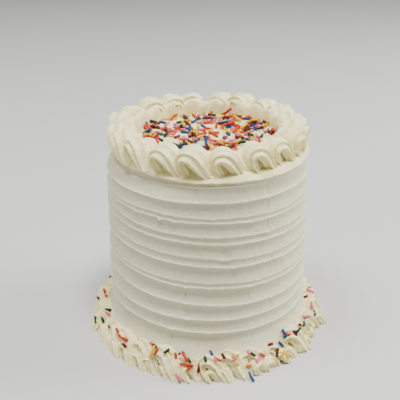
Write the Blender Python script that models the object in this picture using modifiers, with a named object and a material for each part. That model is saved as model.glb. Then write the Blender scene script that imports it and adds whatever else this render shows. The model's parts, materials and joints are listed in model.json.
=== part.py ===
"""A tall round birthday cake in white buttercream: ridged sides, a piped shell border round the
top and another round the base, and rod sprinkles on the top and on the base border.

Metres, +Z up. The origin is the centre of the flat underside. The front of the cake is -Y, and
azimuths run from the front towards +X.
"""

from math import atan2, cos, pi, radians, sin, sqrt
from random import Random

import bmesh
import bpy
from mathutils import Matrix, Vector
from mathutils.bvhtree import BVHTree

MM = 0.001

# Driving dimensions of the iced cake.
BASE_RADIUS = 80.0 * MM
RIM_RADIUS = 76.0 * MM
RIM_HEIGHT = 150.8 * MM
TOP_HEIGHT = 157.0 * MM
RIM_OVERHANG = 0.6 * MM
FOOT_ROUND = 1.3 * MM

# Crests that the palette knife left as it went round, from the top one to the lowest.
CREST_HEIGHTS = [h * MM for h in (136.0, 122.5, 107.5, 90.5, 73.0, 57.0, 44.7, 33.8)]
CREST_DEPTH = 0.8 * MM
GROOVE_DEPTH = 0.8 * MM
GROOVE_DROP = 1.2 * MM
CREST_TILT = 4.2 * MM
CREST_WAVE = 0.7 * MM
WALL_SEGMENTS = 36

# Shells piped with an open star tip.
STAR_VALLEY = 0.74
SHELL_SINK = 1.5 * MM
JOINT_GAP = 0.3 * MM
TRIM_SEGMENTS = 54

# Border round the top.
TOP_SHELLS = 20
TOP_SHELL_RING = 64.3 * MM
TOP_SHELL_HEIGHT = 18.2 * MM
TOP_SHELL_HALF_WIDTH = 11.0 * MM
TOP_SHELL_STATIONS = 6
TOP_SHELL_TEETH = 7
TOP_SHELL_BORE = 40.0 * MM

# Border round the base, which leans on the side of the cake.
BASE_SHELLS = 27
BASE_SHELL_RING = 87.0 * MM
BASE_SHELL_HEIGHT = 23.0 * MM
BASE_SHELL_HALF_WIDTH = 9.2 * MM
BASE_SHELL_LEAN = radians(24.0)
BASE_SHELL_STATIONS = 5
BASE_SHELL_TEETH = 5
BASE_CEILING = 40.0 * MM

# Rod sprinkles.
SPRINKLE_RADIUS = 0.95 * MM
SPRINKLE_SHORT = 4.5 * MM
SPRINKLE_LONG = 8.5 * MM
SPRINKLE_SIDES = 6
SPRINKLE_RISE = 0.3 * MM
TOP_SPRINKLES = 80
TOP_SPRINKLE_REACH = 51.5 * MM
BASE_SPRINKLES = 32

BUTTERCREAM_COLOUR = (0.86, 0.83, 0.72, 1.0)


def clear_scene():
    for item in list(bpy.data.objects):
        bpy.data.objects.remove(item, do_unlink=True)


def new_collection(name):
    made = bpy.data.collections.new(name)
    bpy.context.scene.collection.children.link(made)
    return made


def buttercream_material(name):
    material = bpy.data.materials.new(name)
    material.use_nodes = True
    shader = material.node_tree.nodes["Principled BSDF"]
    shader.inputs["Base Color"].default_value = BUTTERCREAM_COLOUR
    shader.inputs["Roughness"].default_value = 0.55
    shader.inputs["Metallic"].default_value = 0.0
    return material


def link_mesh(name, mesh, collection):
    made = bpy.data.objects.new(name, mesh)
    collection.objects.link(made)
    return made


def applied(thing):
    """Replaces an object's mesh by the one that its modifiers make."""
    bpy.context.view_layer.update()
    graph = bpy.context.evaluated_depsgraph_get()
    made = bpy.data.meshes.new_from_object(thing.evaluated_get(graph))
    thing.modifiers.clear()
    thing.data = made
    return thing


def turned(name, profile, segments, collection, closed=False):
    """A solid turned about Z from (radius, height) points that run down its outer side."""
    count = len(profile)
    edges = [(i, (i + 1) % count) for i in range(count if closed else count - 1)]
    mesh = bpy.data.meshes.new(name)
    mesh.from_pydata([(radius, 0.0, height) for radius, height in profile], edges, [])
    made = link_mesh(name, mesh, collection)
    screw = made.modifiers.new("turn", "SCREW")
    screw.steps = segments
    screw.render_steps = segments
    screw.use_merge_vertices = True
    screw.merge_threshold = 0.00001
    return applied(made)


def combine(thing, operation, operands):
    """Joins a collection to an object, or keeps what they share, and removes the operands."""
    boolean = thing.modifiers.new(operation.lower(), "BOOLEAN")
    boolean.operation = operation
    boolean.operand_type = "COLLECTION"
    boolean.collection = operands
    boolean.solver = "MANIFOLD"
    applied(thing)
    for used in list(operands.objects):
        bpy.data.objects.remove(used, do_unlink=True)


def fill_and_clean(thing):
    """Keeps the one outer surface: sealed hollows are filled and loose scraps dropped."""
    made = bmesh.new()
    made.from_mesh(thing.data)
    unseen = set(made.faces)
    bodies = []
    while unseen:
        body, rim = [], [unseen.pop()]
        while rim:
            face = rim.pop()
            body.append(face)
            near = {other for edge in face.edges for other in edge.link_faces}
            fresh = near & unseen
            unseen -= fresh
            rim.extend(fresh)
        bodies.append(body)
    bodies.sort(key=len)
    for body in bodies[:-1]:
        bmesh.ops.delete(made, geom=body, context="FACES")
    made.to_mesh(thing.data)
    made.free()


def between(stops, share):
    """The value at this share of the way along evenly spaced stops."""
    place = share * (len(stops) - 1)
    index = min(int(place), len(stops) - 2)
    part = place - index
    return stops[index] * (1.0 - part) + stops[index + 1] * part


def wall_radius(height):
    """The side tapers evenly from the base up to the rim."""
    return BASE_RADIUS + (RIM_RADIUS - BASE_RADIUS) * min(height / RIM_HEIGHT, 1.0)


def wall_profile():
    """(radius, height) points from the middle of the top down to the middle of the underside."""
    rim = RIM_RADIUS + RIM_OVERHANG
    points = [
        (0.0, TOP_HEIGHT),
        (RIM_RADIUS - 3.6 * MM, TOP_HEIGHT),
        (RIM_RADIUS - 0.6 * MM, TOP_HEIGHT - 1.8 * MM),
        (rim, RIM_HEIGHT),
    ]
    above = RIM_HEIGHT
    for crest in CREST_HEIGHTS:
        groove = above - GROOVE_DROP
        points.append((wall_radius(groove) - GROOVE_DEPTH, groove))
        points.append((wall_radius(crest) + CREST_DEPTH, crest))
        above = crest
    groove = above - GROOVE_DROP
    points += [
        (wall_radius(groove) - GROOVE_DEPTH, groove),
        (BASE_RADIUS, FOOT_ROUND),
        (BASE_RADIUS - FOOT_ROUND, 0.0),
        (0.0, 0.0),
    ]
    return points


def knife_wander(height, azimuth):
    """How far a crest at this height drops or rises round the cake."""
    low = CREST_HEIGHTS[-1] - 2.0 * GROOVE_DROP
    share = (height - low) / (RIM_HEIGHT - low)
    if not 0.0 < share < 1.0:
        return 0.0
    ease = sin(pi * share)
    wave = CREST_WAVE * sqrt(ease) * sin(3.0 * azimuth + 9.0 * share)
    return wave - CREST_TILT * ease * sin(azimuth)


def iced_cake(collection):
    cake = turned("iced_cake", wall_profile(), WALL_SEGMENTS, collection)
    for vertex in cake.data.vertices:
        x, y, z = vertex.co
        vertex.co.z = z + knife_wander(z, atan2(x, -y))
    return cake


def star_section(teeth, middle, half_length, half_width):
    """(along, across) points of a star with a tooth at its far end."""
    points = []
    for index in range(2 * teeth):
        angle = pi * index / teeth
        lobe = 1.0 if index % 2 == 0 else STAR_VALLEY
        points.append((middle + half_length * lobe * cos(angle), half_width * lobe * sin(angle)))
    return points


def shell(name, frame, height, half_width, stations, teeth, collection):
    """One piped shell: star sections that fan round a pivot under the shell, from its round head
    over the top and down to the narrow tail. In its frame the tail points to +X and Y is across."""
    first, last = radians(-16.0), radians(190.0)
    reach = (0.84, 0.93, 1.00, 0.97, 0.86, 0.98)
    across = (0.78, 0.96, 1.00, 0.92, 0.70, 0.36)
    made = bmesh.new()
    rings = []
    for step in range(stations):
        share = step / (stations - 1)
        fan = first + (last - first) * share
        far = height * between(reach, share)
        near = 0.04 * height
        width = half_width * between(across, share)
        section = star_section(teeth, 0.5 * (far + near), 0.5 * (far - near), width)
        outward = Vector((-cos(fan), 0.0, sin(fan)))
        points = [outward * along + Vector((0.0, aside, 0.0)) for along, aside in section]
        rings.append([made.verts.new(frame @ point) for point in points])
    for one, two in zip(rings, rings[1:]):
        for index in range(len(one)):
            after = (index + 1) % len(one)
            made.faces.new((one[index], one[after], two[after], two[index]))
    made.faces.new(rings[0][::-1])
    made.faces.new(rings[-1])
    bmesh.ops.recalc_face_normals(made, faces=made.faces)
    mesh = bpy.data.meshes.new(name)
    made.to_mesh(mesh)
    made.free()
    return link_mesh(name, mesh, collection)


def shell_frame(azimuth, ring_radius, ground, turn, lean, size):
    """Stands a shell on a ring: +X follows the ring, and +Y points to the axis of the cake."""
    return (
        Matrix.Rotation(azimuth, 4, "Z")
        @ Matrix.Translation((0.0, -ring_radius, ground - SHELL_SINK))
        @ Matrix.Rotation(turn, 4, "Z")
        @ Matrix.Rotation(-lean, 4, "X")
        @ Matrix.Scale(size, 4)
    )


def fuse_and_trim(name, shells, collection, seat_profile, sprinkle=None):
    """Fuses a ring of shells and what is sprinkled on it, and trims it to the seat it lies on."""
    ring = shells.objects[0]
    shells.objects.unlink(ring)
    collection.objects.link(ring)
    ring.name = name
    combine(ring, "UNION", shells)
    if sprinkle is not None:
        sprinkle(ring)
    seat = new_collection(name + "_seat")
    turned(name + "_seat", seat_profile, TRIM_SEGMENTS, seat, closed=True)
    combine(ring, "INTERSECT", seat)
    fill_and_clean(ring)
    return ring


def top_border(collection):
    chance = Random(11)
    ground = TOP_HEIGHT + JOINT_GAP
    shells = new_collection("top_shells")
    for index in range(TOP_SHELLS):
        azimuth = 2.0 * pi * (index + chance.uniform(-0.12, 0.12)) / TOP_SHELLS
        turn = radians(chance.uniform(-16.0, -6.0))
        size = chance.uniform(0.96, 1.03)
        frame = shell_frame(azimuth, TOP_SHELL_RING, ground, turn, 0.0, size)
        size_of = (TOP_SHELL_HEIGHT, TOP_SHELL_HALF_WIDTH, TOP_SHELL_STATIONS, TOP_SHELL_TEETH)
        shell(f"top_shell_{index}", frame, *size_of, shells)
    sky = 2.0 * TOP_HEIGHT
    seat = [(BASE_RADIUS, sky), (BASE_RADIUS, ground), (TOP_SHELL_BORE, ground), (TOP_SHELL_BORE, sky)]
    return fuse_and_trim("top_border", shells, collection, seat)


def base_border(collection):
    chance = Random(23)
    shells = new_collection("base_shells")
    for index in range(BASE_SHELLS):
        azimuth = 2.0 * pi * (index + chance.uniform(-0.16, 0.16)) / BASE_SHELLS
        turn = radians(chance.uniform(-24.0, -8.0))
        size = chance.uniform(0.94, 1.04)
        frame = shell_frame(azimuth, BASE_SHELL_RING, 0.0, turn, BASE_SHELL_LEAN, size)
        size_of = (BASE_SHELL_HEIGHT, BASE_SHELL_HALF_WIDTH, BASE_SHELL_STATIONS, BASE_SHELL_TEETH)
        shell(f"base_shell_{index}", frame, *size_of, shells)
    flat_sag = 1.0 / cos(pi / TRIM_SEGMENTS)
    side = (BASE_RADIUS + JOINT_GAP) * flat_sag
    outside = 2.0 * BASE_RADIUS
    seat = [(outside, BASE_CEILING), (outside, 0.0), (side, 0.0), (side, BASE_CEILING)]
    return fuse_and_trim("base_border", shells, collection, seat, lambda ring: sprinkle_border(ring, chance))


def sprinkle_border(ring, chance):
    """Drops rods from above on to the shells round the base."""
    rods = new_collection("base_sprinkles")
    bpy.context.view_layer.update()
    surface = BVHTree.FromObject(ring, bpy.context.evaluated_depsgraph_get())
    for index in range(BASE_SPRINKLES):
        azimuth = 2.0 * pi * (index + chance.uniform(-0.3, 0.3)) / BASE_SPRINKLES
        radius = BASE_SHELL_RING + chance.uniform(-2.0, 4.5) * MM
        above = Vector((radius * sin(azimuth), -radius * cos(azimuth), BASE_CEILING))
        spot, normal, _, _ = surface.ray_cast(above, Vector((0.0, 0.0, -1.0)))
        if spot is not None:
            lay_sprinkle(spot, normal, chance, rods)
    combine(ring, "UNION", rods)


def sprinkle_top(cake):
    """Spreads rods evenly over the top by a sunflower rule."""
    chance = Random(5)
    rods = new_collection("top_sprinkles")
    golden = pi * (3.0 - sqrt(5.0))
    reach = TOP_SPRINKLE_REACH - 0.5 * SPRINKLE_LONG
    for index in range(TOP_SPRINKLES):
        radius = reach * sqrt((index + 0.5) / TOP_SPRINKLES)
        angle = index * golden + chance.uniform(-0.08, 0.08)
        spot = Vector((radius * cos(angle), radius * sin(angle), TOP_HEIGHT))
        lay_sprinkle(spot, Vector((0.0, 0.0, 1.0)), chance, rods)
    combine(cake, "UNION", rods)
    fill_and_clean(cake)


def lay_sprinkle(spot, normal, chance, collection):
    """Lays one rod on a surface at a chance bearing, sunk a little into the buttercream."""
    bearing = chance.uniform(0.0, 2.0 * pi)
    stand = normal.to_track_quat("Z", "Y").to_matrix().to_4x4()
    lie = Matrix.Rotation(bearing, 4, "Z") @ Matrix.Rotation(0.5 * pi, 4, "Y")
    made = bmesh.new()
    bmesh.ops.create_cone(
        made,
        cap_ends=True,
        segments=SPRINKLE_SIDES,
        radius1=SPRINKLE_RADIUS,
        radius2=SPRINKLE_RADIUS,
        depth=chance.uniform(SPRINKLE_SHORT, SPRINKLE_LONG),
        matrix=Matrix.Translation(spot + normal * SPRINKLE_RISE) @ stand @ lie,
    )
    mesh = bpy.data.meshes.new("sprinkle")
    made.to_mesh(mesh)
    made.free()
    link_mesh("sprinkle", mesh, collection)


def main():
    clear_scene()
    collection = new_collection("birthday_cake")
    cake = iced_cake(collection)
    sprinkle_top(cake)
    for thing in (cake, top_border(collection), base_border(collection)):
        thing.data.materials.clear()
        thing.data.materials.append(buttercream_material(thing.name + "_buttercream"))
        thing.data.shade_smooth()
        thing.data.set_sharp_from_angle(angle=radians(35.0))


main()
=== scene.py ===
"""The looks of a tall birthday cake in white buttercream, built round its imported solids.

The scene is in metres, +Z up, with the front of the cake towards -Y. Lengths in this file are in
millimetres unless a comment says otherwise, and an azimuth runs from the front towards +X.
"""

import json
from math import cos, degrees, pi, radians, sin

import bmesh
import bpy
import numpy as np
from mathutils import Matrix, Vector
from mathutils.bvhtree import BVHTree

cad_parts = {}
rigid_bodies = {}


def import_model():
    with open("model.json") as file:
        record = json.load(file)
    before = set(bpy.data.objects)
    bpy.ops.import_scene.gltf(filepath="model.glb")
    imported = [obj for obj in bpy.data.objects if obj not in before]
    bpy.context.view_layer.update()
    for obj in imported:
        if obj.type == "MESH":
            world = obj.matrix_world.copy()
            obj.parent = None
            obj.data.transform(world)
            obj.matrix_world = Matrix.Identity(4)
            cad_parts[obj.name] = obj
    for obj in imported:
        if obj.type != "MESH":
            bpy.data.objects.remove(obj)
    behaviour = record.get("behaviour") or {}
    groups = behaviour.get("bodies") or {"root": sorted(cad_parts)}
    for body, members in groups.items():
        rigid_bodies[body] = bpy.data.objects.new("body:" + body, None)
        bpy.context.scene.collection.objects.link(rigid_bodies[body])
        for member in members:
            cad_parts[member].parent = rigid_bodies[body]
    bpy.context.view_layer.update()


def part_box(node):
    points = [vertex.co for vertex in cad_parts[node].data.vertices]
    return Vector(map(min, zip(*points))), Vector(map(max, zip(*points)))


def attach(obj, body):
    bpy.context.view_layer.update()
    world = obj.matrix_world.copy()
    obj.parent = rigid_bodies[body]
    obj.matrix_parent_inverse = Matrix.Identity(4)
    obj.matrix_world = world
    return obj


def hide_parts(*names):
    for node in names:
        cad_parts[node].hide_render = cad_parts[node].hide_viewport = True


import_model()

MM = 0.001
TURN = 2.0 * pi

# The iced body. The radius of its foot is read from the solid.
FOOT_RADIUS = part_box("iced_cake")[1].x / MM
RIM_RADIUS = 76.0
RIM_HEIGHT = 150.8
TOP_HEIGHT = 157.0
WALL_COLUMNS = 480
TOP_RADII = (4.0, 12.0, 22.0, 32.0, 42.0, 50.0, 56.0, 61.0, 65.0)
# The side rounds inwards under the rim: from this height, over this span, and by this much, a
# little more on the left, less in front, and much more between the two.
SHOULDER_LOW = 136.0
SHOULDER_SPAN = 15.0
SHOULDER_DEPTH = 4.2
SHOULDER_TO_LEFT = 0.8
SHOULDER_LESS_IN_FRONT = 2.6
SHOULDER_FRONT_LEFT = 5.0
# The foot flares out over the last stretch down to the base, whose edge is rounded: (inset, height).
FOOT_FLARE = 4.4
FOOT_FLARE_HIGH = 32.0
FOOT_FLARE_SPAN = 18.0
FOOT_BAND_LOW = 14.0
FOOT_EDGE = ((0.6, 0.6), (1.3, 0.0))

# The ledge of cream round the top ring. Its edge is out of round: it stands in on the left and
# hangs over on the right.
LEDGE_HEIGHT = 151.7
LEDGE_INNER = 66.0
LEDGE_RADIUS = 74.6
LEDGE_TO_RIGHT = 1.4
LEDGE_TO_FRONT = 0.7
LEDGE_OVAL = 1.4
LEDGE_OVAL_TURN = 0.17
# Rows over the ledge: share of the way out to its edge, and share of the drop still to go.
LEDGE_ROWS = (
    (0.22, 0.94),
    (0.40, 0.82),
    (0.58, 0.66),
    (0.74, 0.48),
    (0.87, 0.30),
    (0.96, 0.14),
    (1.00, 0.05),
    (1.00, 0.00),
)
# The hollow in under the ledge: its depth, how much more on the left, and the drop over which it
# forms. Its rows lie closer together near the ledge and sweep out again to the first crest.
LIP_OVERHANG = 2.5
LIP_OVERHANG_LEFT = 1.6
LIP_STEP = 1.3
UNDER_RIM_ROWS = 9
UNDER_RIM_SPACING = 1.4
UNDER_RIM_SWEEP = 2.5

# Crests that the knife left, from the top down: height in front, how much lower it runs at +X,
# strength of the lip, and how far its edge is torn.
CRESTS = [
    (148.6, 0.0, 0.22, 0.30),
    (137.4, 0.6, 1.00, 0.26),
    (126.3, 1.6, 0.40, 0.75),
    (122.5, 2.0, 0.70, 0.80),
    (112.3, 3.2, 0.60, 0.34),
    (106.6, 3.3, 0.85, 0.30),
    (95.6, 4.2, 0.35, 0.40),
    (89.3, 4.4, 0.95, 0.34),
    (75.8, 3.6, 0.35, 0.36),
    (72.3, 3.8, 0.90, 0.30),
    (58.2, 3.9, 1.00, 0.24),
    (45.6, 1.8, 1.00, 0.22),
    (34.6, 1.6, 0.95, 0.22),
]
# How far the first crest drops towards the left, where the ledge stands in from the side.
FIRST_CREST_DROP = 6.5
# How far a lip stands out, and how far its bead reaches below and above the crest.
CREST_DEPTH = 0.48
BEAD_BELOW = 0.34
BEAD_ABOVE = 0.60
# A band steps in under its upper crest and runs out hollow to the lower one. Both are a share of
# its height, which counts up to WIDE_BAND, and part of both stays where a crest has no lip.
STEP_HEIGHT = 0.9
BAND_LEAN = 0.132
WIDE_BAND = 15.0
PLAIN_STEP = 0.20
PLAIN_HOLLOW = 0.35
NARROWEST_BAND = 1.6
# Rows in a band that is taller than TALL_BAND, and in a lower one.
TALL_BAND = 8.0
TALL_BAND_ROWS = 15
LOW_BAND_ROWS = 10
# Chips in a torn crest: how torn a crest is where they have their full size, the most that they
# grow, their drop, and how far they bulge as a share of the lip.
CHIPPED_AT = 0.4
CHIPS_MOST = 1.5
CHIP_DROP = 1.2
CHIP_BULGE = 2.0

# Unevenness round the cake, as (seed, bumps in a full turn, size of a bump). Every crest has its
# own seed, which is added. Those of CREST_UNEVEN and CREST_CHIPS are shares of the lip.
RIM_RAG = ((3, 9, 0.3), (4, 60, 0.4))
LEDGE_EDGE_RAG = ((5, 14, 0.4), (6, 75, 0.5), (13, 170, 0.25))
CREST_SEED = 20
CREST_SEED_STEP = 7
CREST_WAVE = ((0, 7, 0.4),)
CREST_TEAR = ((1, 26, 1.2), (2, 90, 0.5), (3, 220, 0.3))
CREST_UNEVEN = ((4, 22, 0.22), (5, 110, 0.12))
CREST_CHIPS = ((6, 130, 1.0),)
# Unevenness over a surface, as (seed, bumps in a full turn, length of a bump across the turn, size
# of a bump). On the ledge the length is a share of the ledge's width.
TOP_SWELL = (8, 25, 9.0, 0.3)
LEDGE_RAG = (9, 160, 1.0 / 9.0, 0.45)
LEDGE_SWIRL = (10, 50, 1.0 / 5.0, 0.5)
LEDGE_LUMPS = (12, 125, 1.0 / 11.0, 0.6)
SIDE_MARKS = ((41, 250, 1.6, 0.06), (42, 36, 5.0, 0.14), (43, 400, 9.0, 0.06))

# A piped shell is a rope with a star section, drawn up from its foot, folded over at the head and
# pulled down to its tail. Each stop has the inner and the outer edge of the rope, (x, z) for a
# shell of SHELL_HEIGHT, and the share of its full width.
SHELL_HEIGHT = 18.8
SHELL_STOPS = (
    ((3.0, -1.0), (-4.5, -1.0), 0.78),
    ((1.3, 5.0), (-8.8, 6.5), 0.94),
    ((-0.8, 7.8), (-9.0, 13.3), 1.00),
    ((-1.5, 8.2), (-4.8, 17.7), 1.00),
    ((-1.3, 8.2), (1.0, 18.8), 1.00),
    ((-0.9, 7.6), (7.2, 16.6), 0.95),
    ((1.2, 5.4), (11.4, 11.8), 0.84),
    ((4.2, 1.8), (14.6, 5.4), 0.66),
    ((7.8, -2.0), (17.4, -0.5), 0.45),
)
# The star tip, as shares of the rope's radius: its teeth, the depth of its grooves, how far its
# ridges are rounded, and the offset that brings the rounded ridges back out to the full radius.
STAR_TEETH = 8
STAR_GROOVE = 0.29
STAR_ROUNDING = 0.015
STAR_OFFSET = 0.12
# Stations along a shell and points round it, for the large ones and for the small folds.
SHELL_MESH = (48, 96)
FOLD_MESH = (28, 56)
# Unevenness of the cream in a shell: bumps round the rope, bumps along it, and their size as a
# share of its radius. The grain and the lumps also grow with the shell's ruffle.
SHELL_GRAIN = (48, 30.0, 0.012)
SHELL_STRANDS = (48, 2.2, 0.042)
SHELL_LUMPS = (8, 6.0, 0.030)
# Waves across a ruffled shell: how many, their size, and the ruffle at which they begin.
SHELL_WAVES = 7.0
SHELL_WAVE_SIZE = 0.022
SHELL_WAVES_FROM = 0.6

# The ring of shells on the top edge. A pair of values is the range of a random draw.
TOP_SEED = 11
TOP_SHELLS = 20
TOP_SHELL_START = -8.0
TOP_SHELL_RING = 65.1
TOP_SHELL_GROUND = 154.4
TOP_SHELL_HEIGHT = 18.8
TOP_SHELL_HALF_WIDTH = 11.1
TOP_SHELL_TURN = -13.0
TOP_SHELL_SHIFTS = (-0.10, 0.10)
TOP_SHELL_TWISTS = (-7.0, 7.0)
TOP_SHELL_SIZES = (0.95, 1.05)
TOP_SHELL_LEANS = (-4.0, 4.0)
TOP_SHELL_NOISE = 300
# What the ring may fill, as a (radius, height) outline that follows the ledge under it.
TOP_SEAT = (
    (80.0, 190.0),
    (80.0, 151.6),
    (75.5, 151.3),
    (72.5, 151.0),
    (68.0, 154.0),
    (60.0, 156.2),
    (40.0, 156.6),
    (40.0, 190.0),
)
# The cream behind and between the shells, as a (radius, height) outline.
TOP_CORE = (
    (53.4, 150.0),
    (53.5, 158.0),
    (54.0, 164.0),
    (55.3, 167.6),
    (58.0, 169.0),
    (60.6, 167.8),
    (63.4, 164.8),
    (66.4, 160.8),
    (69.2, 157.2),
    (71.0, 154.0),
    (71.6, 150.0),
)
TOP_CORE_RUFFLE = 1.4

# The ring of shells round the base, with small folds of cream between their tails.
BASE_SEED = 23
BASE_SHELLS = 31
BASE_SHELL_RING = 84.6
BASE_SHELL_GROUND = -1.0
BASE_SHELL_HEIGHT = 22.0
BASE_SHELL_HALF_WIDTH = 9.4
BASE_SHELL_TURN = -15.0
BASE_SHELL_LEAN = 22.0
BASE_SHELL_SHIFTS = (-0.16, 0.16)
BASE_SHELL_TWISTS = (-15.0, 15.0)
BASE_SHELL_SIZES = (0.90, 1.05)
BASE_SHELL_LEANS = (-7.0, 7.0)
BASE_SHELL_STRAYS = (-1.0, 1.0)
BASE_SHELL_WIDTHS = (0.92, 1.10)
BASE_SHELL_NOISE = 500
BASE_RUFFLE = 2.2
BASE_FOLDS = 48
BASE_FOLD_RING = 89.0
BASE_FOLD_SHIFTS = (-0.3, 0.3)
BASE_FOLD_STRAYS = (-1.6, 1.0)
BASE_FOLD_TURNS = (-50.0, 30.0)
BASE_FOLD_LEANS = (8.0, 30.0)
BASE_FOLD_HEIGHTS = (9.0, 14.0)
BASE_FOLD_HALF_WIDTHS = (5.0, 7.5)
BASE_FOLD_NOISE = 700
# How far out of round the ring stands: (azimuth in degrees, distance).
BASE_STAND = (
    (-180, 0.0),
    (-120, 1.0),
    (-80, 2.0),
    (-35, 0.4),
    (0, 0.2),
    (25, -1.8),
    (55, 0.0),
    (85, 3.4),
    (120, 2.0),
    (180, 0.0),
)
BASE_SEAT = ((110.0, 40.0), (110.0, 0.0), (79.0, 0.0), (79.0, 40.0))
BASE_CORE = (
    (75.0, -4.0),
    (75.0, 11.0),
    (80.0, 11.5),
    (84.0, 9.0),
    (87.0, 4.6),
    (88.6, 0.0),
    (89.0, -4.0),
)
BASE_CORE_RUFFLE = 1.2

# Segments of a turned core and of a turned seat.
CORE_SEGMENTS = 720
SEAT_SEGMENTS = 180
# The folds of a core at a ruffle of 1: how they lean, in radians per mm of height, then their
# creases and the unevenness of its crest as (seed, bumps in a full turn, size of a bump), how far
# a hump swells and rises, and how far the whole core swells.
CORE_FOLD_LEAN = 0.004
CORE_CREASES = ((61, 66, 1.3),)
CORE_FINE_CREASES = ((62, 130, 0.5),)
CORE_CREST = ((63, 45, 0.8),)
CORE_HUMP_SWELL = 0.6
CORE_HUMP_RISE = 1.1
CORE_SWELL = 0.4

# Rod sprinkles: their sizes, how far a rod bends, and each ring of a rod's mesh as a share of its
# length and of its radius.
ROD_SEED = 77
ROD_RADIUS = 1.04
ROD_LENGTHS = (4.8, 9.2)
ROD_BENDS = (-0.25, 0.25)
ROD_SIDES = 9
ROD_STATIONS = (
    (-0.500, 0.45),
    (-0.485, 0.80),
    (-0.450, 1.00),
    (0.000, 1.03),
    (0.450, 1.00),
    (0.485, 0.80),
    (0.500, 0.45),
)
# The heap on the top: rods dropped, how far out, and how high and how steep they may come to rest.
TOP_RODS = 340
TOP_ROD_REACH = 54.5
HEAP_HIGHEST = 4.6 * ROD_RADIUS
HEAP_STEEPEST = 0.8
# How far a rod lies above one that it crosses, how far past their ends two rods still touch, how
# near they must be to be looked at, and the least sine of the angle between them that is used.
ROD_ON_ROD = 1.8 * ROD_RADIUS
ROD_END_REACH = 0.6
ROD_NEAR = 2.0
LEAST_CROSSING = 0.15
# Rods on the base ring: where along a rod the cream under it is felt, from what height, the
# steepest slope, and how far the rod's axis lies above the cream and above the floor.
FEELERS = (-0.4, 0.0, 0.4)
DROP_HEIGHT = 40.0
RING_STEEPEST = 1.3
ROD_ON_CREAM = 0.7 * ROD_RADIUS
ROD_ON_FLOOR = 1.1 * ROD_RADIUS
# Rods round the back of the base ring: how many, from which azimuth in degrees on both sides, and
# the nearest, likeliest and farthest distance from the axis.
BACK_RODS = 60
BACK_RODS_FROM = 105.0
BACK_ROD_RING = (81.0, 86.0, 94.0)
# Rods on the front of the base ring as they lie in the photograph: colour, azimuth in degrees,
# distance from the axis, bearing in plan in degrees from +X, and length.
FRONT_RODS = (
    ("green", -72, 84.4, 141, 7.0),
    ("pink", -69, 85.3, 142, 6.0),
    ("green", -71, 89.6, 133, 5.5),
    ("maroon", -63, 87.3, 134, 4.4),
    ("green", -74, 95.0, 103, 6.0),
    ("orange_red", -51, 88.4, 130, 7.6),
    ("orange_red", -45, 89.1, 150, 7.6),
    ("maroon", -44, 90.8, 150, 4.4),
    ("orange", -30, 81.8, 132, 6.2),
    ("maroon", -27, 85.5, 137, 4.4),
    ("yellow", -27, 89.0, 51, 9.5),
    ("orange_red", -25, 88.6, 39, 5.6),
    ("green", -20, 86.5, 30, 5.1),
    ("yellow", -19, 85.2, 145, 4.4),
    ("orange_red", -16, 84.5, 111, 4.4),
    ("maroon", -14, 81.0, 35, 4.4),
    ("pink", -13, 93.9, 145, 6.9),
    ("orange_red", -12, 81.5, 60, 7.0),
    ("orange_red", -11, 84.8, 129, 7.4),
    ("orange_red", -10, 88.7, 169, 9.6),
    ("green", -9, 85.5, 143, 4.4),
    ("orange_red", -8, 89.7, 29, 6.2),
    ("maroon", -4, 87.6, 73, 7.7),
    ("green", -1, 87.1, 105, 4.4),
    ("blue", 2, 81.2, 121, 4.4),
    ("pink", 4, 87.4, 100, 4.8),
    ("orange_red", 5, 86.6, 174, 5.8),
    ("maroon", 8, 84.9, 150, 4.4),
    ("pink", 13, 87.3, 17, 5.3),
    ("yellow", 14, 85.3, 5, 5.8),
    ("yellow", 14, 89.0, 179, 4.4),
    ("orange", 20, 89.1, 3, 4.8),
    ("blue", 20, 94.6, 122, 8.1),
    ("pink", 21, 85.3, 125, 4.4),
    ("green", 23, 86.3, 169, 4.8),
    ("pink", 25, 89.1, 55, 6.0),
    ("orange_red", 28, 87.3, 179, 4.7),
    ("maroon", 35, 83.1, 27, 4.4),
    ("maroon", 37, 87.8, 76, 7.3),
    ("yellow", 39, 90.6, 48, 5.9),
    ("blue", 41, 85.2, 178, 6.0),
    ("yellow", 41, 92.3, 101, 6.3),
    ("orange", 42, 91.9, 45, 4.4),
    ("blue", 45, 82.5, 114, 4.4),
    ("blue", 45, 84.9, 35, 4.8),
    ("orange_red", 46, 85.6, 179, 4.4),
    ("maroon", 50, 87.9, 155, 4.9),
    ("green", 52, 89.0, 47, 5.4),
    ("maroon", 58, 85.8, 60, 7.0),
    ("blue", 63, 85.9, 94, 4.6),
    ("pink", 66, 86.4, 20, 7.0),
    ("blue", 76, 90.4, 98, 4.9),
    ("pink", 79, 87.4, 89, 7.0),
    ("maroon", 84, 82.0, 19, 4.4),
    ("pink", 90, 86.8, 147, 7.5),
    ("orange_red", 100, 90.7, 107, 8.0),
    ("orange_red", -84, 84.7, 106, 8.0),
    ("orange_red", -90, 87.0, 115, 5.0),
    ("maroon", -88, 92.4, 113, 4.6),
)

# Edges of the body and of the piped rings stay sharp from these angles on, in degrees.
BODY_SHARP = 50.0
PIPED_SHARP = 40.0

# The camera: sensor and lens, place, and angles in degrees.
CAMERA_SENSOR = 36.0
CAMERA_LENS = 58.5
CAMERA_PLACE = (0.0, -464.1, 323.1)
CAMERA_PITCH = 25.256
CAMERA_YAW = -0.713
CAMERA_ROLL = -0.25

# The studio, in metres and watts: a pale floor just under the cake, and round lights, each with its
# name, place, diameter and power, that all face the cake.
FLOOR_REACH = 4.0
FLOOR_GAP = 0.0001
WORLD_STRENGTH = 0.15
LIGHTS = (
    ("overhead", (0.35, -0.55, 2.6), 0.7, 76.0),
    ("left_ceiling", (-0.75, -0.25, 2.3), 0.7, 36.0),
    ("left_window", (-1.5, 0.0, 0.7), 0.9, 5.0),
    ("right_window", (1.4, 0.25, 1.0), 0.9, 30.0),
)
LIGHTS_FACE = (0.0, 0.0, 0.1)


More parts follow.
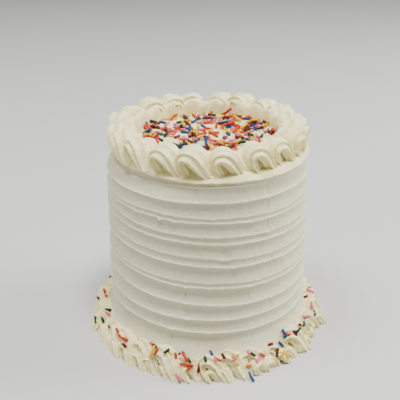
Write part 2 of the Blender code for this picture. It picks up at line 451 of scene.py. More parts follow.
def srgb(code):
    """A colour written as sRGB hex, turned into linear values."""
    parts = [int(code[i : i + 2], 16) / 255.0 for i in (0, 2, 4)]
    return tuple(c / 12.92 if c <= 0.04045 else ((c + 0.055) / 1.055) ** 2.4 for c in parts) + (1.0,)


# The piped colour is paler and yellower than the spread colour. On the top and ledge of the body, which are
# spread icing like the side, it is painted light.
SPREAD_PALE = srgb("E9E4C6")
SPREAD_WARM = srgb("DFD7B0")
PIPED_AND_LIT_TOP_PALE = srgb("FCF4C2")
PIPED_AND_LIT_TOP_WARM = srgb("F5E6A6")
FLOOR_GREY = srgb("C9C9C7")
WORLD_GREY = srgb("E6E8EA")
# Every colour of rod, with its share of the mix.
ROD_COLOURS = {
    "orange_red": (srgb("C43404"), 0.18),
    "maroon": (srgb("5E0812"), 0.13),
    "pink": (srgb("DC6E8A"), 0.13),
    "yellow": (srgb("E8C000"), 0.22),
    "blue": (srgb("003E74"), 0.13),
    "green": (srgb("06361E"), 0.15),
    "orange": (srgb("DE6C10"), 0.08),
    "white": (srgb("F4EEE4"), 0.02),
}

# The finish of whipped fat and sugar: a soft sheen, and light that goes a little way in. The piped
# cream is looser than the spread cream and lets more of it in.
BUTTERCREAM_FINISH = {
    "Roughness": 0.5,
    "Specular IOR Level": 0.35,
    "Subsurface Radius": (1.0, 0.86, 0.6),
    "Subsurface Scale": 1.6 * MM,
}
SPREAD_GLOW = 0.10
PIPED_GLOW = 0.30
# The knife draws the lumps of the spread cream out up and down the side, to 1 / drag.
SPREAD_DRAG = 0.3
PIPED_DRAG = 1.0
# Sizes of the warmer patches, of the grain and of the lumps, and the spacing of the pits. The real
# grain is finer than this and is drawn as coarse as it needs to show.
PATCH_SIZE = 22.22
GRAIN_SIZE = 0.7143
LUMP_SIZE = 2.778
PIT_SPACING = 3.846
GRAIN_DEPTH = 0.35
LUMP_DEPTH = 0.45
PIT_DEPTH = 0.40

# The finish of pressed sugar: a faint polish, darker spots of this shade, and a dusty surface.
ROD_FINISH = {"Roughness": 0.42, "Specular IOR Level": 0.3}
ROD_SHADE = 0.72
ROD_MOTTLE_SIZE = 3.333
ROD_DUST_SIZE = 0.5556
ROD_DUST_DEPTH = 0.08


def per_metre(size):
    """The scale of a pattern whose features are this large, in mm."""
    return 1.0 / (size * MM)


def add_node(tree, kind, settings=None, links=None, **values):
    """Adds a shader node, sets its properties and socket values, and links its inputs."""
    node = tree.nodes.new(kind)
    for name, value in (settings or {}).items():
        setattr(node, name, value)
    for name, value in values.items():
        node.inputs[name.replace("_", " ")].default_value = value
    for name, source in (links or {}).items():
        tree.links.new(source, node.inputs[name])
    return node


def new_material(name, finish):
    """A material, its node tree and its shader, whose sockets have the values of the finish."""
    material = bpy.data.materials.new(name)
    material.use_nodes = True
    tree = material.node_tree
    shader = tree.nodes["Principled BSDF"]
    for socket, value in finish.items():
        shader.inputs[socket].default_value = value
    return material, tree, shader


def buttercream(name, pale, warm, glow, drag):
    """Whipped buttercream: soft ivory, slightly see-through, with air pits and a fine grain."""
    material, tree, shader = new_material(name, {**BUTTERCREAM_FINISH, "Subsurface Weight": glow})
    place = add_node(tree, "ShaderNodeTexCoord").outputs["Object"]
    drawn = add_node(tree, "ShaderNodeMapping", links={"Vector": place}, Scale=(1.0, 1.0, drag))
    # Patches of slightly warmer cream, a few centimetres across.
    patches = add_node(
        tree,
        "ShaderNodeTexNoise",
        links={"Vector": place},
        Scale=per_metre(PATCH_SIZE),
        Detail=3.0,
    )
    colour = add_node(
        tree,
        "ShaderNodeMix",
        {"data_type": "RGBA"},
        {"Factor": patches.outputs["Fac"]},
        A=pale,
        B=warm,
    )
    # A grain of sugar and fat that makes the surface look spread and not moulded.
    grain = add_node(
        tree,
        "ShaderNodeTexNoise",
        links={"Vector": place},
        Scale=per_metre(GRAIN_SIZE),
        Detail=3.0,
    )
    # Lumps, drawn out where a knife has passed.
    lumps = add_node(
        tree,
        "ShaderNodeTexNoise",
        links={"Vector": drawn.outputs["Vector"]},
        Scale=per_metre(LUMP_SIZE),
        Detail=2.0,
    )
    # Pits where air bubbles broke open.
    bubbles = add_node(
        tree,
        "ShaderNodeTexVoronoi",
        links={"Vector": place},
        Scale=per_metre(PIT_SPACING),
        Randomness=1.0,
    )
    pits = add_node(
        tree,
        "ShaderNodeMapRange",
        links={"Value": bubbles.outputs["Distance"]},
        From_Min=0.05,
        From_Max=0.19,
    )
    grainy = add_node(
        tree,
        "ShaderNodeBump",
        links={"Height": grain.outputs["Fac"]},
        Strength=0.8,
        Distance=GRAIN_DEPTH * MM,
    )
    lumpy = add_node(
        tree,
        "ShaderNodeBump",
        links={"Height": lumps.outputs["Fac"], "Normal": grainy.outputs["Normal"]},
        Strength=0.8,
        Distance=LUMP_DEPTH * MM,
    )
    pitted = add_node(
        tree,
        "ShaderNodeBump",
        links={"Height": pits.outputs["Result"], "Normal": lumpy.outputs["Normal"]},
        Strength=0.9,
        Distance=PIT_DEPTH * MM,
    )
    tree.links.new(colour.outputs["Result"], shader.inputs["Base Color"])
    tree.links.new(pitted.outputs["Normal"], shader.inputs["Normal"])
    return material


def sugar_rod(name, colour):
    """A rod sprinkle: pressed sugar with a faint polish and colour that varies along it."""
    material, tree, shader = new_material(name, ROD_FINISH)
    place = add_node(tree, "ShaderNodeTexCoord").outputs["Object"]
    mottle = add_node(
        tree,
        "ShaderNodeTexNoise",
        links={"Vector": place},
        Scale=per_metre(ROD_MOTTLE_SIZE),
        Detail=2.0,
    )
    mottled = add_node(
        tree,
        "ShaderNodeMix",
        {"data_type": "RGBA"},
        {"Factor": mottle.outputs["Fac"]},
        A=colour,
        B=tuple(ROD_SHADE * c for c in colour[:3]) + (1.0,),
    )
    # Sugar dust, a little rough to the light.
    dust = add_node(
        tree,
        "ShaderNodeTexNoise",
        links={"Vector": place},
        Scale=per_metre(ROD_DUST_SIZE),
        Detail=2.0,
    )
    dusty = add_node(
        tree,
        "ShaderNodeBump",
        links={"Height": dust.outputs["Fac"]},
        Strength=0.3,
        Distance=ROD_DUST_DEPTH * MM,
    )
    tree.links.new(mottled.outputs["Result"], shader.inputs["Base Color"])
    tree.links.new(dusty.outputs["Normal"], shader.inputs["Normal"])
    return material


def link_mesh(name, points, faces, collection=None):
    """An object from points in metres and faces, in a collection or in the scene."""
    mesh = bpy.data.meshes.new(name)
    mesh.from_pydata(points, [], faces)
    made = bpy.data.objects.new(name, mesh)
    (collection or bpy.context.scene.collection).objects.link(made)
    return made


def new_collection(name):
    made = bpy.data.collections.new(name)
    bpy.context.scene.collection.children.link(made)
    return made


def face_outwards(thing):
    """Turns the faces of a closed mesh outwards."""
    edit = bmesh.new()
    edit.from_mesh(thing.data)
    bmesh.ops.recalc_face_normals(edit, faces=edit.faces)
    edit.to_mesh(thing.data)
    edit.free()


def ring_faces(rows, columns):
    """Quads between rows of points, each row closed on itself."""
    row = np.arange(rows - 1)[:, None] * columns
    here = np.arange(columns)[None, :]
    after = (here + 1) % columns
    quads = np.stack([row + here, row + columns + here, row + columns + after, row + after], axis=-1)
    return quads.reshape(-1, 4).tolist()


def turned_points(rows, azimuth):
    """Points in metres of rows of (radius, height) round the axis."""
    points = []
    for radius, height in rows:
        level = np.broadcast_to(height, azimuth.shape)
        points.append(np.stack([radius * np.sin(azimuth), -radius * np.cos(azimuth), level], axis=-1))
    return np.concatenate(points) * MM


def eased(share):
    """Goes softly from 0 to 1."""
    return share * share * (3.0 - 2.0 * share)


def value_noise(u, v, seed, around):
    """Smooth noise of about -1 to 1 on a grid of unit cells, wrapped every around cells of u."""
    table = np.random.default_rng(seed).uniform(-1.0, 1.0, (around, 256))
    column, row = np.floor(u).astype(int), np.floor(v).astype(int)
    s, t = eased(u - column), eased(v - row)

    def corner(i, j):
        return table[(column + i) % around, (row + j) % 256]

    low = corner(0, 0) * (1.0 - s) + corner(1, 0) * s
    high = corner(0, 1) * (1.0 - s) + corner(1, 1) * s
    return low * (1.0 - t) + high * t


def ring_noise(azimuth, bumps, seed=0):
    """Unevenness round the cake: the sum of all (seed, bumps in a full turn, size of a bump)."""
    half = np.full_like(azimuth, 0.5)
    return sum(
        size * value_noise(azimuth / TURN * count, half, seed + own_seed, count)
        for own_seed, count, size in bumps
    )


def surface_noise(azimuth, level, bumps):
    """Unevenness over a turned surface, from (seed, bumps in a full turn, length, size of a bump)."""
    seed, count, length, size = bumps
    return size * value_noise(azimuth / TURN * count, level / length + 0.0 * azimuth, seed, count)


def smooth_between(stops, share):
    """A soft curve through evenly spaced stops."""
    stops = np.asarray(stops, float)
    padded = np.concatenate([[2 * stops[0] - stops[1]], stops, [2 * stops[-1] - stops[-2]]])
    place = np.clip(share, 0.0, 1.0) * (len(stops) - 1)
    index = np.minimum(place.astype(int), len(stops) - 2)
    t = place - index
    a, b, c, d = (padded[index + k] for k in range(4))
    return b + 0.5 * t * (c - a + t * (2 * a - 5 * b + 4 * c - d + t * (3 * (b - c) + d - a)))


def towards_left(azimuth):
    """1 on the left of the cake, falling to 0 in front and behind, and 0 on the right."""
    return np.clip(-np.sin(azimuth), 0.0, 1.0)


def rim_height(azimuth):
    """Height of the ledge's edge, which is ragged."""
    return LEDGE_HEIGHT + ring_noise(azimuth, RIM_RAG)


def rim_edge(azimuth):
    """Radius of the ledge's edge."""
    sweep = LEDGE_RADIUS + LEDGE_TO_RIGHT * np.sin(azimuth) + LEDGE_TO_FRONT * np.cos(azimuth)
    oval = LEDGE_OVAL * np.sin(2.0 * azimuth + LEDGE_OVAL_TURN)
    return sweep + oval + ring_noise(azimuth, LEDGE_EDGE_RAG)


def crest_lines(azimuth):
    """Height and lip strength of every crest round the cake, from the top down."""
    lines = []
    above = rim_height(azimuth)
    for index, (height, fall, strength, torn) in enumerate(CRESTS):
        seed = CREST_SEED + CREST_SEED_STEP * index
        line = height - fall * np.sin(azimuth) + ring_noise(azimuth, CREST_WAVE, seed)
        line = line + torn * ring_noise(azimuth, CREST_TEAR, seed)
        if index == 0:
            line = line - FIRST_CREST_DROP * towards_left(azimuth) ** 2
        peaks = np.clip(ring_noise(azimuth, CREST_CHIPS, seed), 0.0, 1.0) ** 4
        chips = min(torn / CHIPPED_AT, CHIPS_MOST) * peaks
        line = np.minimum(line - CHIP_DROP * chips, above - NARROWEST_BAND)
        uneven = ring_noise(azimuth, CREST_UNEVEN, seed)
        lines.append((line, strength * (1.0 + uneven + CHIP_BULGE * chips)))
        above = line
    return lines


def side_radius(height, azimuth):
    """The side tapers evenly up to the rim, rounds inwards under it, and flares at the foot."""
    taper = FOOT_RADIUS + (RIM_RADIUS - FOOT_RADIUS) * np.clip(height / RIM_HEIGHT, 0.0, 1.0)
    less = SHOULDER_LESS_IN_FRONT * np.clip(np.cos(azimuth), 0.0, 1.0) ** 2
    front_left = np.clip(-np.sin(2.0 * azimuth), 0.0, 1.0) * (azimuth > pi)
    depth = SHOULDER_DEPTH - SHOULDER_TO_LEFT * np.sin(azimuth) - less + SHOULDER_FRONT_LEFT * front_left
    rounding = depth * np.clip((height - SHOULDER_LOW) / SHOULDER_SPAN, 0.0, 1.1) ** 1.5
    flare = FOOT_FLARE * np.clip((FOOT_FLARE_HIGH - height) / FOOT_FLARE_SPAN, 0.0, 1.0) ** 1.6
    return taper - rounding + flare


def step_under(down, tall):
    """Goes softly from 0 at a crest to 1 where the step below it ends."""
    return eased(np.clip(down / tall, 0.0, 1.0))


def under_rim_rows(azimuth, edge, top, lower):
    """Rows from the ledge's edge, which hangs over, in under it and out to the first crest."""
    low, low_lip = lower
    target = side_radius(low, azimuth) + CREST_DEPTH * low_lip
    overhang = LIP_OVERHANG + LIP_OVERHANG_LEFT * towards_left(azimuth)
    rows = []
    for step in range(1, UNDER_RIM_ROWS + 1):
        share = (step / UNDER_RIM_ROWS) ** UNDER_RIM_SPACING
        out = share ** UNDER_RIM_SWEEP
        down = (top - low) * share
        inset = overhang * step_under(down, LIP_STEP)
        rows.append((edge - inset * (1.0 - out) + (target - edge) * out, top - down))
    return rows


def band_rows(azimuth, upper, lower):
    """Rows from under one crest down to the next: a step inwards, and a hollow that runs out to the lip."""
    (top, top_lip), (low, low_lip) = upper, lower
    width = top - low
    lean = BAND_LEAN * np.minimum(width, WIDE_BAND)
    inset = lean * (PLAIN_STEP + (1.0 - PLAIN_STEP) * top_lip)
    depth = 2.0 * lean * (PLAIN_HOLLOW + (1.0 - PLAIN_HOLLOW) * low_lip)
    count = TALL_BAND_ROWS if np.mean(width) > TALL_BAND else LOW_BAND_ROWS
    rows = []
    for step in range(1, count + 1):
        down = width * eased(step / count)
        left = width - down
        below, above = np.exp(-((down / BEAD_BELOW) ** 2)), np.exp(-((left / BEAD_ABOVE) ** 2))
        bead = CREST_DEPTH * (top_lip * below + low_lip * above)
        hollow = step_under(down, STEP_HEIGHT) * (left / width) * (inset + depth * down / width)
        height = top - down
        rows.append((side_radius(height, azimuth) + bead - hollow, height))
    return rows


def top_rows(azimuth, rim, edge):
    """Rows over the top, which is nearly flat, and over the uneven ledge to its edge."""
    rows = []
    for radius in TOP_RADII:
        level = np.full_like(azimuth, radius)
        rows.append((level, TOP_HEIGHT + surface_noise(azimuth, level, TOP_SWELL)))
    for share, rise in LEDGE_ROWS:
        radius = LEDGE_INNER + (edge - LEDGE_INNER) * share + surface_noise(azimuth, share, LEDGE_RAG)
        swirl = surface_noise(azimuth, share, LEDGE_SWIRL) * (1.0 - share)
        swirl = swirl + surface_noise(azimuth, share, LEDGE_LUMPS)
        rows.append((radius, rim + (TOP_HEIGHT - rim) * rise + swirl))
    return rows


def side_rows(azimuth, rim, edge):
    """Rows down the side, from crest to crest, with the marks of the knife all over them."""
    lines = crest_lines(azimuth)
    foot = (np.full_like(azimuth, FOOT_BAND_LOW), np.ones_like(azimuth))
    smooth = under_rim_rows(azimuth, edge, rim, lines[0])
    for upper, lower in zip(lines, lines[1:] + [foot]):
        smooth += band_rows(azimuth, upper, lower)
    rows = []
    for radius, height in smooth:
        marks = sum(surface_noise(azimuth, height, bumps) for bumps in SIDE_MARKS)
        rows.append((radius + marks, height))
    return rows


def iced_cake():
    """The closed body, and how many of its faces, counted from the first, are on top and ledge; these get
    the paler piped colour as painted light on the top.
    """
    azimuth = np.arange(WALL_COLUMNS) * TURN / WALL_COLUMNS
    rim, edge = rim_height(azimuth), rim_edge(azimuth)
    rows = top_rows(azimuth, rim, edge)
    lit_top_faces = len(rows) * WALL_COLUMNS
    rows += side_rows(azimuth, rim, edge)
    for inset, height in FOOT_EDGE:
        rows.append((side_radius(0.0, azimuth) - inset, height))
    points = turned_points(rows, azimuth)
    count = len(points)
    first_row = list(range(WALL_COLUMNS))
    last_row = list(range(count - WALL_COLUMNS, count))
    points = points.tolist() + [(0.0, 0.0, TOP_HEIGHT * MM), (0.0, 0.0, 0.0)]
    faces = ring_faces(len(rows), WALL_COLUMNS)
    faces += [(count, a, b) for a, b in zip(first_row, first_row[1:] + first_row[:1])]
    faces += [(count + 1, b, a) for a, b in zip(last_row, last_row[1:] + last_row[:1])]
    cake = link_mesh("buttercream_cake", points, faces)
    face_outwards(cake)
    return cake, lit_top_faces


def star_outline(around):
    """Angle and lobe of an open star tip's outline: sharp ridges, broad hollow grooves."""
    angle = np.arange(around) * TURN / around
    ridge = np.sqrt(np.sin(0.5 * STAR_TEETH * angle) ** 2 + STAR_ROUNDING) - STAR_OFFSET
    return angle, 1.0 - STAR_GROOVE * ridge


def shell(name, place, height, half_width, seed, collection, ruffle=1.0, mesh=SHELL_MESH):
    """One piped shell: its tail points to +X, Y is across, and it stands on z = 0 until it is placed."""
    stations, around = mesh
    share = np.linspace(0.0, 1.0, stations)[:, None]
    size = height / SHELL_HEIGHT
    inner_x, inner_z, outer_x, outer_z = (
        size * smooth_between([stop[edge][axis] for stop in SHELL_STOPS], share)
        for edge in (0, 1)
        for axis in (0, 1)
    )
    width = half_width * smooth_between([stop[2] for stop in SHELL_STOPS], share)
    angle, lobe = star_outline(around)
    turned, along = angle + np.zeros_like(share), share + np.zeros_like(angle)

    def uneven(bumps, own_seed):
        count, rows, strength = bumps
        return strength * value_noise(turned / TURN * count, along * rows, own_seed, count)

    lobe = lobe + ruffle * uneven(SHELL_GRAIN, seed) + uneven(SHELL_STRANDS, seed + 2)
    lobe = lobe + ruffle * uneven(SHELL_LUMPS, seed + 1)
    waves = np.sin(TURN * (along * SHELL_WAVES + 0.5 * np.sin(angle) + 0.1 * seed))
    lobe = lobe + SHELL_WAVE_SIZE * (ruffle - SHELL_WAVES_FROM) * waves
    out = 0.5 * (1.0 + lobe * np.cos(angle))
    across = width * lobe * np.sin(angle)
    x = inner_x + (outer_x - inner_x) * out
    z = inner_z + (outer_z - inner_z) * out
    points = np.stack([x, across, z], axis=-1).reshape(-1, 3)
    faces = [face[::-1] for face in ring_faces(stations, around)]
    faces.append(list(range(around)))
    faces.append(list(range(len(points) - around, len(points)))[::-1])
    made = link_mesh(name, (points * MM).tolist(), faces, collection)
    made.data.transform(place)
    face_outwards(made)
    return made


def shell_place(azimuth, ring_radius, ground, turn, lean, size):
    """Stands a shell on a ring: +X follows the ring, and +Y points to the axis of the cake."""
    return (
        Matrix.Rotation(azimuth, 4, "Z")
        @ Matrix.Translation((0.0, -ring_radius * MM, ground * MM))
        @ Matrix.Rotation(radians(turn), 4, "Z")
        @ Matrix.Rotation(radians(-lean), 4, "X")
        @ Matrix.Scale(size, 4)
    )


def turned_ring(name, profile, segments, collection, ruffle=0.0, humps=0):
    """A closed (radius, height) outline turned about the cake's axis, with soft upright folds and a
    hump for each shell. Without humps it stands as high as a hump all round."""
    azimuth = np.arange(segments) * TURN / segments
    hump = np.cos(humps * (azimuth - radians(TOP_SHELL_START)))
    rows = []
    for radius, height in profile:
        folded = azimuth + CORE_FOLD_LEAN * height
        crease = np.abs(ring_noise(folded, CORE_CREASES)) + ring_noise(folded, CORE_FINE_CREASES)
        fold = ruffle * (CORE_HUMP_SWELL * hump - crease + CORE_SWELL)
        rise = ruffle * (ring_noise(folded, CORE_CREST) + CORE_HUMP_RISE * hump)
        rows.append((radius - fold, height + rise))
    points = turned_points(rows, azimuth)
    faces = [[i % len(points) for i in face] for face in ring_faces(len(profile) + 1, segments)]
    made = link_mesh(name, points.tolist(), faces, collection)
    face_outwards(made)
    return made


def apply_modifiers(thing):
    """Replaces an object's mesh by the one that its modifiers make."""
    bpy.context.view_layer.update()
    graph = bpy.context.evaluated_depsgraph_get()
    made = bpy.data.meshes.new_from_object(thing.evaluated_get(graph))
    thing.modifiers.clear()
    thing.data = made


def combine(thing, operation, operands):
    """Joins a collection to an object, or keeps what they share, and removes the operands."""
    boolean = thing.modifiers.new(operation.lower(), "BOOLEAN")
    boolean.operation = operation
    boolean.operand_type = "COLLECTION"
    boolean.collection = operands
    boolean.solver = "MANIFOLD"
    apply_modifiers(thing)
    for used in list(operands.objects):
        bpy.data.objects.remove(used, do_unlink=True)


def fuse(name, shells, seat_profile):
    """Fuses a ring of shells and trims it to the seat that it lies on."""
    ring = shells.objects[0]
    shells.objects.unlink(ring)
    bpy.context.scene.collection.objects.link(ring)
    ring.name = name
    combine(ring, "UNION", shells)
    seat = new_collection(name + "_seat")
    turned_ring(name + "_seat", seat_profile, SEAT_SEGMENTS, seat)
    combine(ring, "INTERSECT", seat)
    return ring


def top_border():
    """The ring of shells on the top edge."""
    chance = np.random.default_rng(TOP_SEED)
    shells = new_collection("top_shells")
    for index in range(TOP_SHELLS):
        shift = TURN * (index + chance.uniform(*TOP_SHELL_SHIFTS)) / TOP_SHELLS
        azimuth = radians(TOP_SHELL_START) + shift
        turn = TOP_SHELL_TURN + chance.uniform(*TOP_SHELL_TWISTS)
        size = chance.uniform(*TOP_SHELL_SIZES)
        lean = chance.uniform(*TOP_SHELL_LEANS)
        place = shell_place(azimuth, TOP_SHELL_RING, TOP_SHELL_GROUND, turn, lean, size)
        seed = TOP_SHELL_NOISE + index
        shell(f"top_shell_{index}", place, TOP_SHELL_HEIGHT, TOP_SHELL_HALF_WIDTH, seed, shells)
    turned_ring("top_core", TOP_CORE, CORE_SEGMENTS, shells, TOP_CORE_RUFFLE, TOP_SHELLS)
    return fuse("piped_top_border", shells, TOP_SEAT)


def base_stand(azimuth):
    """How far the base ring stands out of round at this azimuth."""
    return np.interp((degrees(azimuth) + 180.0) % 360.0 - 180.0, *zip(*BASE_STAND))


def base_border():
    """The ring of shells round the base, and the small folds between their tails."""
    chance = np.random.default_rng(BASE_SEED)
    shells = new_collection("base_shells")
    for index in range(BASE_SHELLS):
        azimuth = TURN * (index + chance.uniform(*BASE_SHELL_SHIFTS)) / BASE_SHELLS
        turn = BASE_SHELL_TURN + chance.uniform(*BASE_SHELL_TWISTS)
        size = chance.uniform(*BASE_SHELL_SIZES)
        lean = BASE_SHELL_LEAN + chance.uniform(*BASE_SHELL_LEANS)
        ring = BASE_SHELL_RING + chance.uniform(*BASE_SHELL_STRAYS) + base_stand(azimuth)
        place = shell_place(azimuth, ring, BASE_SHELL_GROUND, turn, lean, size)
        half_width = BASE_SHELL_HALF_WIDTH * chance.uniform(*BASE_SHELL_WIDTHS)
        seed = BASE_SHELL_NOISE + index
        shell(f"base_shell_{index}", place, BASE_SHELL_HEIGHT, half_width, seed, shells, BASE_RUFFLE)
    for index in range(BASE_FOLDS):
        azimuth = TURN * (index + chance.uniform(*BASE_FOLD_SHIFTS)) / BASE_FOLDS
        ring = BASE_FOLD_RING + chance.uniform(*BASE_FOLD_STRAYS) + base_stand(azimuth)
        turn, lean = chance.uniform(*BASE_FOLD_TURNS), chance.uniform(*BASE_FOLD_LEANS)
        place = shell_place(azimuth, ring, BASE_SHELL_GROUND, turn, lean, 1.0)
        height, half_width = chance.uniform(*BASE_FOLD_HEIGHTS), chance.uniform(*BASE_FOLD_HALF_WIDTHS)
        seed = BASE_FOLD_NOISE + index
        shell(f"base_fold_{index}", place, height, half_width, seed, shells, BASE_RUFFLE, FOLD_MESH)
    turned_ring("base_core", BASE_CORE, CORE_SEGMENTS, shells, BASE_CORE_RUFFLE)
    return fuse("piped_base_border", shells, BASE_SEAT)


def rod_mesh(length, bend):
    """Points and faces of one rod along X with rounded ends."""
    angle = np.arange(ROD_SIDES) * TURN / ROD_SIDES
    points = []
    for share, swell in ROD_STATIONS:
        radius = ROD_RADIUS * swell
        x = np.full(ROD_SIDES, share * length)
        sag = bend * (1.0 - 4.0 * share * share)
        points.append(np.stack([x, radius * np.cos(angle) + sag, radius * np.sin(angle)], axis=-1))
    faces = ring_faces(len(ROD_STATIONS), ROD_SIDES)
    last = (len(ROD_STATIONS) - 1) * ROD_SIDES
    faces.append(list(range(ROD_SIDES)))
    faces.append([last + i for i in range(ROD_SIDES)][::-1])
    return np.concatenate(points), faces


def joined_rods(name, rods, material):
    """One mesh for all rods of one colour. A rod is its placing matrix, length and bend."""
    points, faces = [], []
    for place, length, bend in rods:
        spots, quads = rod_mesh(length, bend)
        start = sum(len(p) for p in points)
        matrix = np.array(place)
        points.append(spots * MM @ matrix[:3, :3].T + matrix[:3, 3])
        faces += [[start + i for i in face] for face in quads]
    made = link_mesh(name, np.concatenate(points).tolist(), faces)
    made.data.materials.append(material)
    made.data.shade_smooth()
    return made


def placed_rod(centre, line, length, bend):
    """A rod with its middle at a point and its axis along a line."""
    turn = line.to_track_quat("X", "Z").to_matrix().to_4x4()
    return Matrix.Translation(centre * MM) @ turn, length, bend


def rods_crossed(centre, line, half, placed):
    """Supports that earlier rods give a new one: place along it, and height of its axis there."""
    supports = []
    for other_centre, other_line, other_half, other_height, other_slope in placed:
        gap = other_centre - centre
        if gap @ gap > (half + other_half + ROD_NEAR) ** 2:
            continue
        cross = line[0] * other_line[1] - line[1] * other_line[0]
        if abs(cross) < LEAST_CROSSING:
            cross = LEAST_CROSSING
        t = (gap[0] * other_line[1] - gap[1] * other_line[0]) / cross
        s = (gap[0] * line[1] - gap[1] * line[0]) / cross
        if abs(t) < half + ROD_END_REACH and abs(s) < other_half + ROD_END_REACH:
            supports.append((t, other_height + s * other_slope + ROD_ON_ROD))
    return supports


def resting_pose(supports):
    """Height of the middle and slope of a rod on the two supports that hold it up highest."""
    poses = []
    for left, left_height in supports:
        for right, right_height in supports:
            if left <= 0.0 < right:
                slope = (right_height - left_height) / (right - left)
                poses.append((left_height - left * slope, slope))
    return max(poses, key=lambda pose: pose[0])


def resting_rods(chance, count, reach, floor):
    """Drops rods one by one on the top: each comes to rest on the icing or across earlier rods."""
    placed, rods = [], []
    for index in range(count):
        radius = reach * np.sqrt(chance.uniform(0.0, 1.0))
        spin, bearing = chance.uniform(0.0, TURN, 2)
        length = chance.uniform(*ROD_LENGTHS)
        centre = np.array([radius * np.cos(spin), radius * np.sin(spin)])
        line = np.array([np.cos(bearing), np.sin(bearing)])
        half = 0.5 * length
        supports = [(-half, floor + ROD_RADIUS), (half, floor + ROD_RADIUS)]
        supports += rods_crossed(centre, line, half, placed)
        middle, slope = resting_pose(supports)
        if middle > floor + HEAP_HIGHEST or abs(slope) > HEAP_STEEPEST:
            continue
        placed.append((centre, line, half, middle, slope))
        spot, direction = Vector((*centre, middle)), Vector((*line, slope)).normalized()
        rods.append(placed_rod(spot, direction, length, chance.uniform(*ROD_BENDS)))
    return rods


def lay_rod(surface, azimuth, radius, bearing, length, bend):
    """A rod dropped from above on the base ring: it rests on its middle or across its ends."""
    line = Vector((cos(bearing), sin(bearing), 0.0))
    centre = Vector((radius * sin(azimuth), -radius * cos(azimuth), 0.0))
    heights = []
    for share in FEELERS:
        above = (centre + share * length * line + Vector((0.0, 0.0, DROP_HEIGHT))) * MM
        spot = surface.ray_cast(above, Vector((0.0, 0.0, -1.0)))[0]
        heights.append(max(spot.z / MM, 0.0) if spot else 0.0)
    first, middle, last = heights
    slope = (last - first) / ((FEELERS[2] - FEELERS[0]) * length)
    line.z = max(-RING_STEEPEST, min(RING_STEEPEST, slope))
    line.normalize()
    middle = max(middle, 0.5 * (first + last)) + ROD_ON_CREAM
    centre.z = max(middle, 0.5 * length * abs(line.z) + ROD_ON_FLOOR)
    return placed_rod(centre, line, length, bend)


def pick_colour(chance):
    """Draws a colour of rod by its share of the mix."""
    names = list(ROD_COLOURS)
    odds = np.array([ROD_COLOURS[n][1] for n in names])
    return names[chance.choice(len(names), p=odds / odds.sum())]


def shared_out(rods, chance):
    """Shares rods out over the colours."""
    piles = {}
    for rod in rods:
        piles.setdefault(pick_colour(chance), []).append(rod)
    return piles


def border_rods(chance, ring, count):
    """Rods on the base ring by colour: those of the photograph in front, and more round the back."""
    bpy.context.view_layer.update()
    surface = BVHTree.FromObject(ring, bpy.context.evaluated_depsgraph_get())
    piles = {}
    for colour, azimuth, radius, bearing, length in FRONT_RODS:
        bend = chance.uniform(*ROD_BENDS)
        rod = lay_rod(surface, radians(azimuth), radius, radians(bearing), length, bend)
        piles.setdefault(colour, []).append(rod)
    first, last = radians(BACK_RODS_FROM), TURN - radians(BACK_RODS_FROM)
    for index in range(count):
        azimuth = first + (last - first) * (index + chance.uniform(0.0, 1.0)) / count
        radius = chance.triangular(*BACK_ROD_RING)
        bearing, length = chance.uniform(0.0, TURN), chance.uniform(*ROD_LENGTHS)
        rod = lay_rod(surface, azimuth, radius, bearing, length, chance.uniform(*ROD_BENDS))
        piles.setdefault(pick_colour(chance), []).append(rod)
    return piles


def sprinkle(name, piles, materials):
    """One mesh piece for each colour of rod."""
    return [joined_rods(f"{name}_{colour}", pile, materials[colour]) for colour, pile in piles.items()]


def paint(thing, material):
    thing.data.materials.clear()
    thing.data.materials.append(material)


def shade(thing, sharp_angle):
    """Shades a mesh smooth, with edges sharper than this angle in degrees kept."""
    thing.data.shade_smooth()
    thing.data.set_sharp_from_angle(angle=radians(sharp_angle))


def pale_floor():
    """A pale matt floor just under the cake, plain so that the eye stays on the cream."""
    far = FLOOR_REACH
    corners = [(-far, -far, 0.0), (far, -far, 0.0), (far, far, 0.0), (-far, far, 0.0)]
    floor = link_mesh("floor", corners, [(0, 1, 2, 3)])
    floor.location.z = -FLOOR_GAP
    material, _, _ = new_material("pale_floor", {"Base Color": FLOOR_GREY, "Roughness": 0.8})
    paint(floor, material)


def soft_light():
    """Soft daylight all round, and round lights above and at both sides."""
    world = bpy.data.worlds.new("soft_daylight")
    bpy.context.scene.world = world
    world.use_nodes = True
    background = world.node_tree.nodes["Background"]
    background.inputs["Color"].default_value = WORLD_GREY
    background.inputs["Strength"].default_value = WORLD_STRENGTH
    for name, spot, size, power in LIGHTS:
        light = bpy.data.lights.new(name, "AREA")
        light.shape = "DISK"
        light.size = size
        light.energy = power
        lamp = bpy.data.objects.new(name, light)
        bpy.context.scene.collection.objects.link(lamp)
        lamp.location = spot
        lamp.rotation_euler = (Vector(LIGHTS_FACE) - Vector(spot)).to_track_quat("-Z", "Y").to_euler()


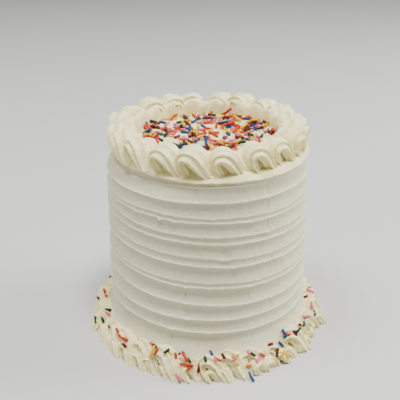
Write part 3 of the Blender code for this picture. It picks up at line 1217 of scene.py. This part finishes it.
def photo_camera():
    """The camera of the photograph, as fitted to the outlines of the cake."""
    camera = bpy.data.cameras.new("camera")
    camera.sensor_width = CAMERA_SENSOR
    camera.lens = CAMERA_LENS
    holder = bpy.data.objects.new("camera", camera)
    bpy.context.scene.collection.objects.link(holder)
    pitch, yaw, roll = radians(CAMERA_PITCH), radians(CAMERA_YAW), radians(CAMERA_ROLL)
    ahead = Vector((sin(yaw) * cos(pitch), cos(yaw) * cos(pitch), -sin(pitch)))
    level = ahead.cross(Vector((0.0, 0.0, 1.0))).normalized()
    above = level.cross(ahead)
    right = level * cos(roll) + above * sin(roll)
    up = above * cos(roll) - level * sin(roll)
    matrix = Matrix((right, up, -ahead)).transposed().to_4x4()
    matrix.translation = Vector(CAMERA_PLACE) * MM
    holder.matrix_world = matrix
    bpy.context.scene.camera = holder


def main():
    piped_and_lit_top = buttercream("piped_and_lit_top_buttercream", PIPED_AND_LIT_TOP_PALE, PIPED_AND_LIT_TOP_WARM, PIPED_GLOW, PIPED_DRAG)
    spread = buttercream("spread_buttercream", SPREAD_PALE, SPREAD_WARM, SPREAD_GLOW, SPREAD_DRAG)
    sugar = {name: sugar_rod("sugar_rod_" + name, colour) for name, (colour, _) in ROD_COLOURS.items()}

    cake, lit_top_faces = iced_cake()
    paint(cake, spread)
    # The top and ledge are the same icing as the side but take the paler piped colour: painted light on the
    # top.
    cake.data.materials.append(piped_and_lit_top)
    for index in range(lit_top_faces):
        cake.data.polygons[index].material_index = 1
    shade(cake, BODY_SHARP)
    crown, foot = top_border(), base_border()
    for ring in (crown, foot):
        paint(ring, piped_and_lit_top)
        shade(ring, PIPED_SHARP)

    chance = np.random.default_rng(ROD_SEED)
    heap = resting_rods(chance, TOP_RODS, TOP_ROD_REACH, TOP_HEIGHT)
    top_rods = sprinkle("top_rods", shared_out(heap, chance), sugar)
    foot_rods = sprinkle("base_rods", border_rods(chance, foot, BACK_RODS), sugar)

    for piece, node in ((cake, "iced_cake"), (crown, "top_border"), (foot, "base_border")):
        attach(piece, "root")
        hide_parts(node)
    for piece in top_rods:
        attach(piece, "root")
    for piece in foot_rods:
        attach(piece, "root")

    pale_floor()
    soft_light()
    photo_camera()


main()
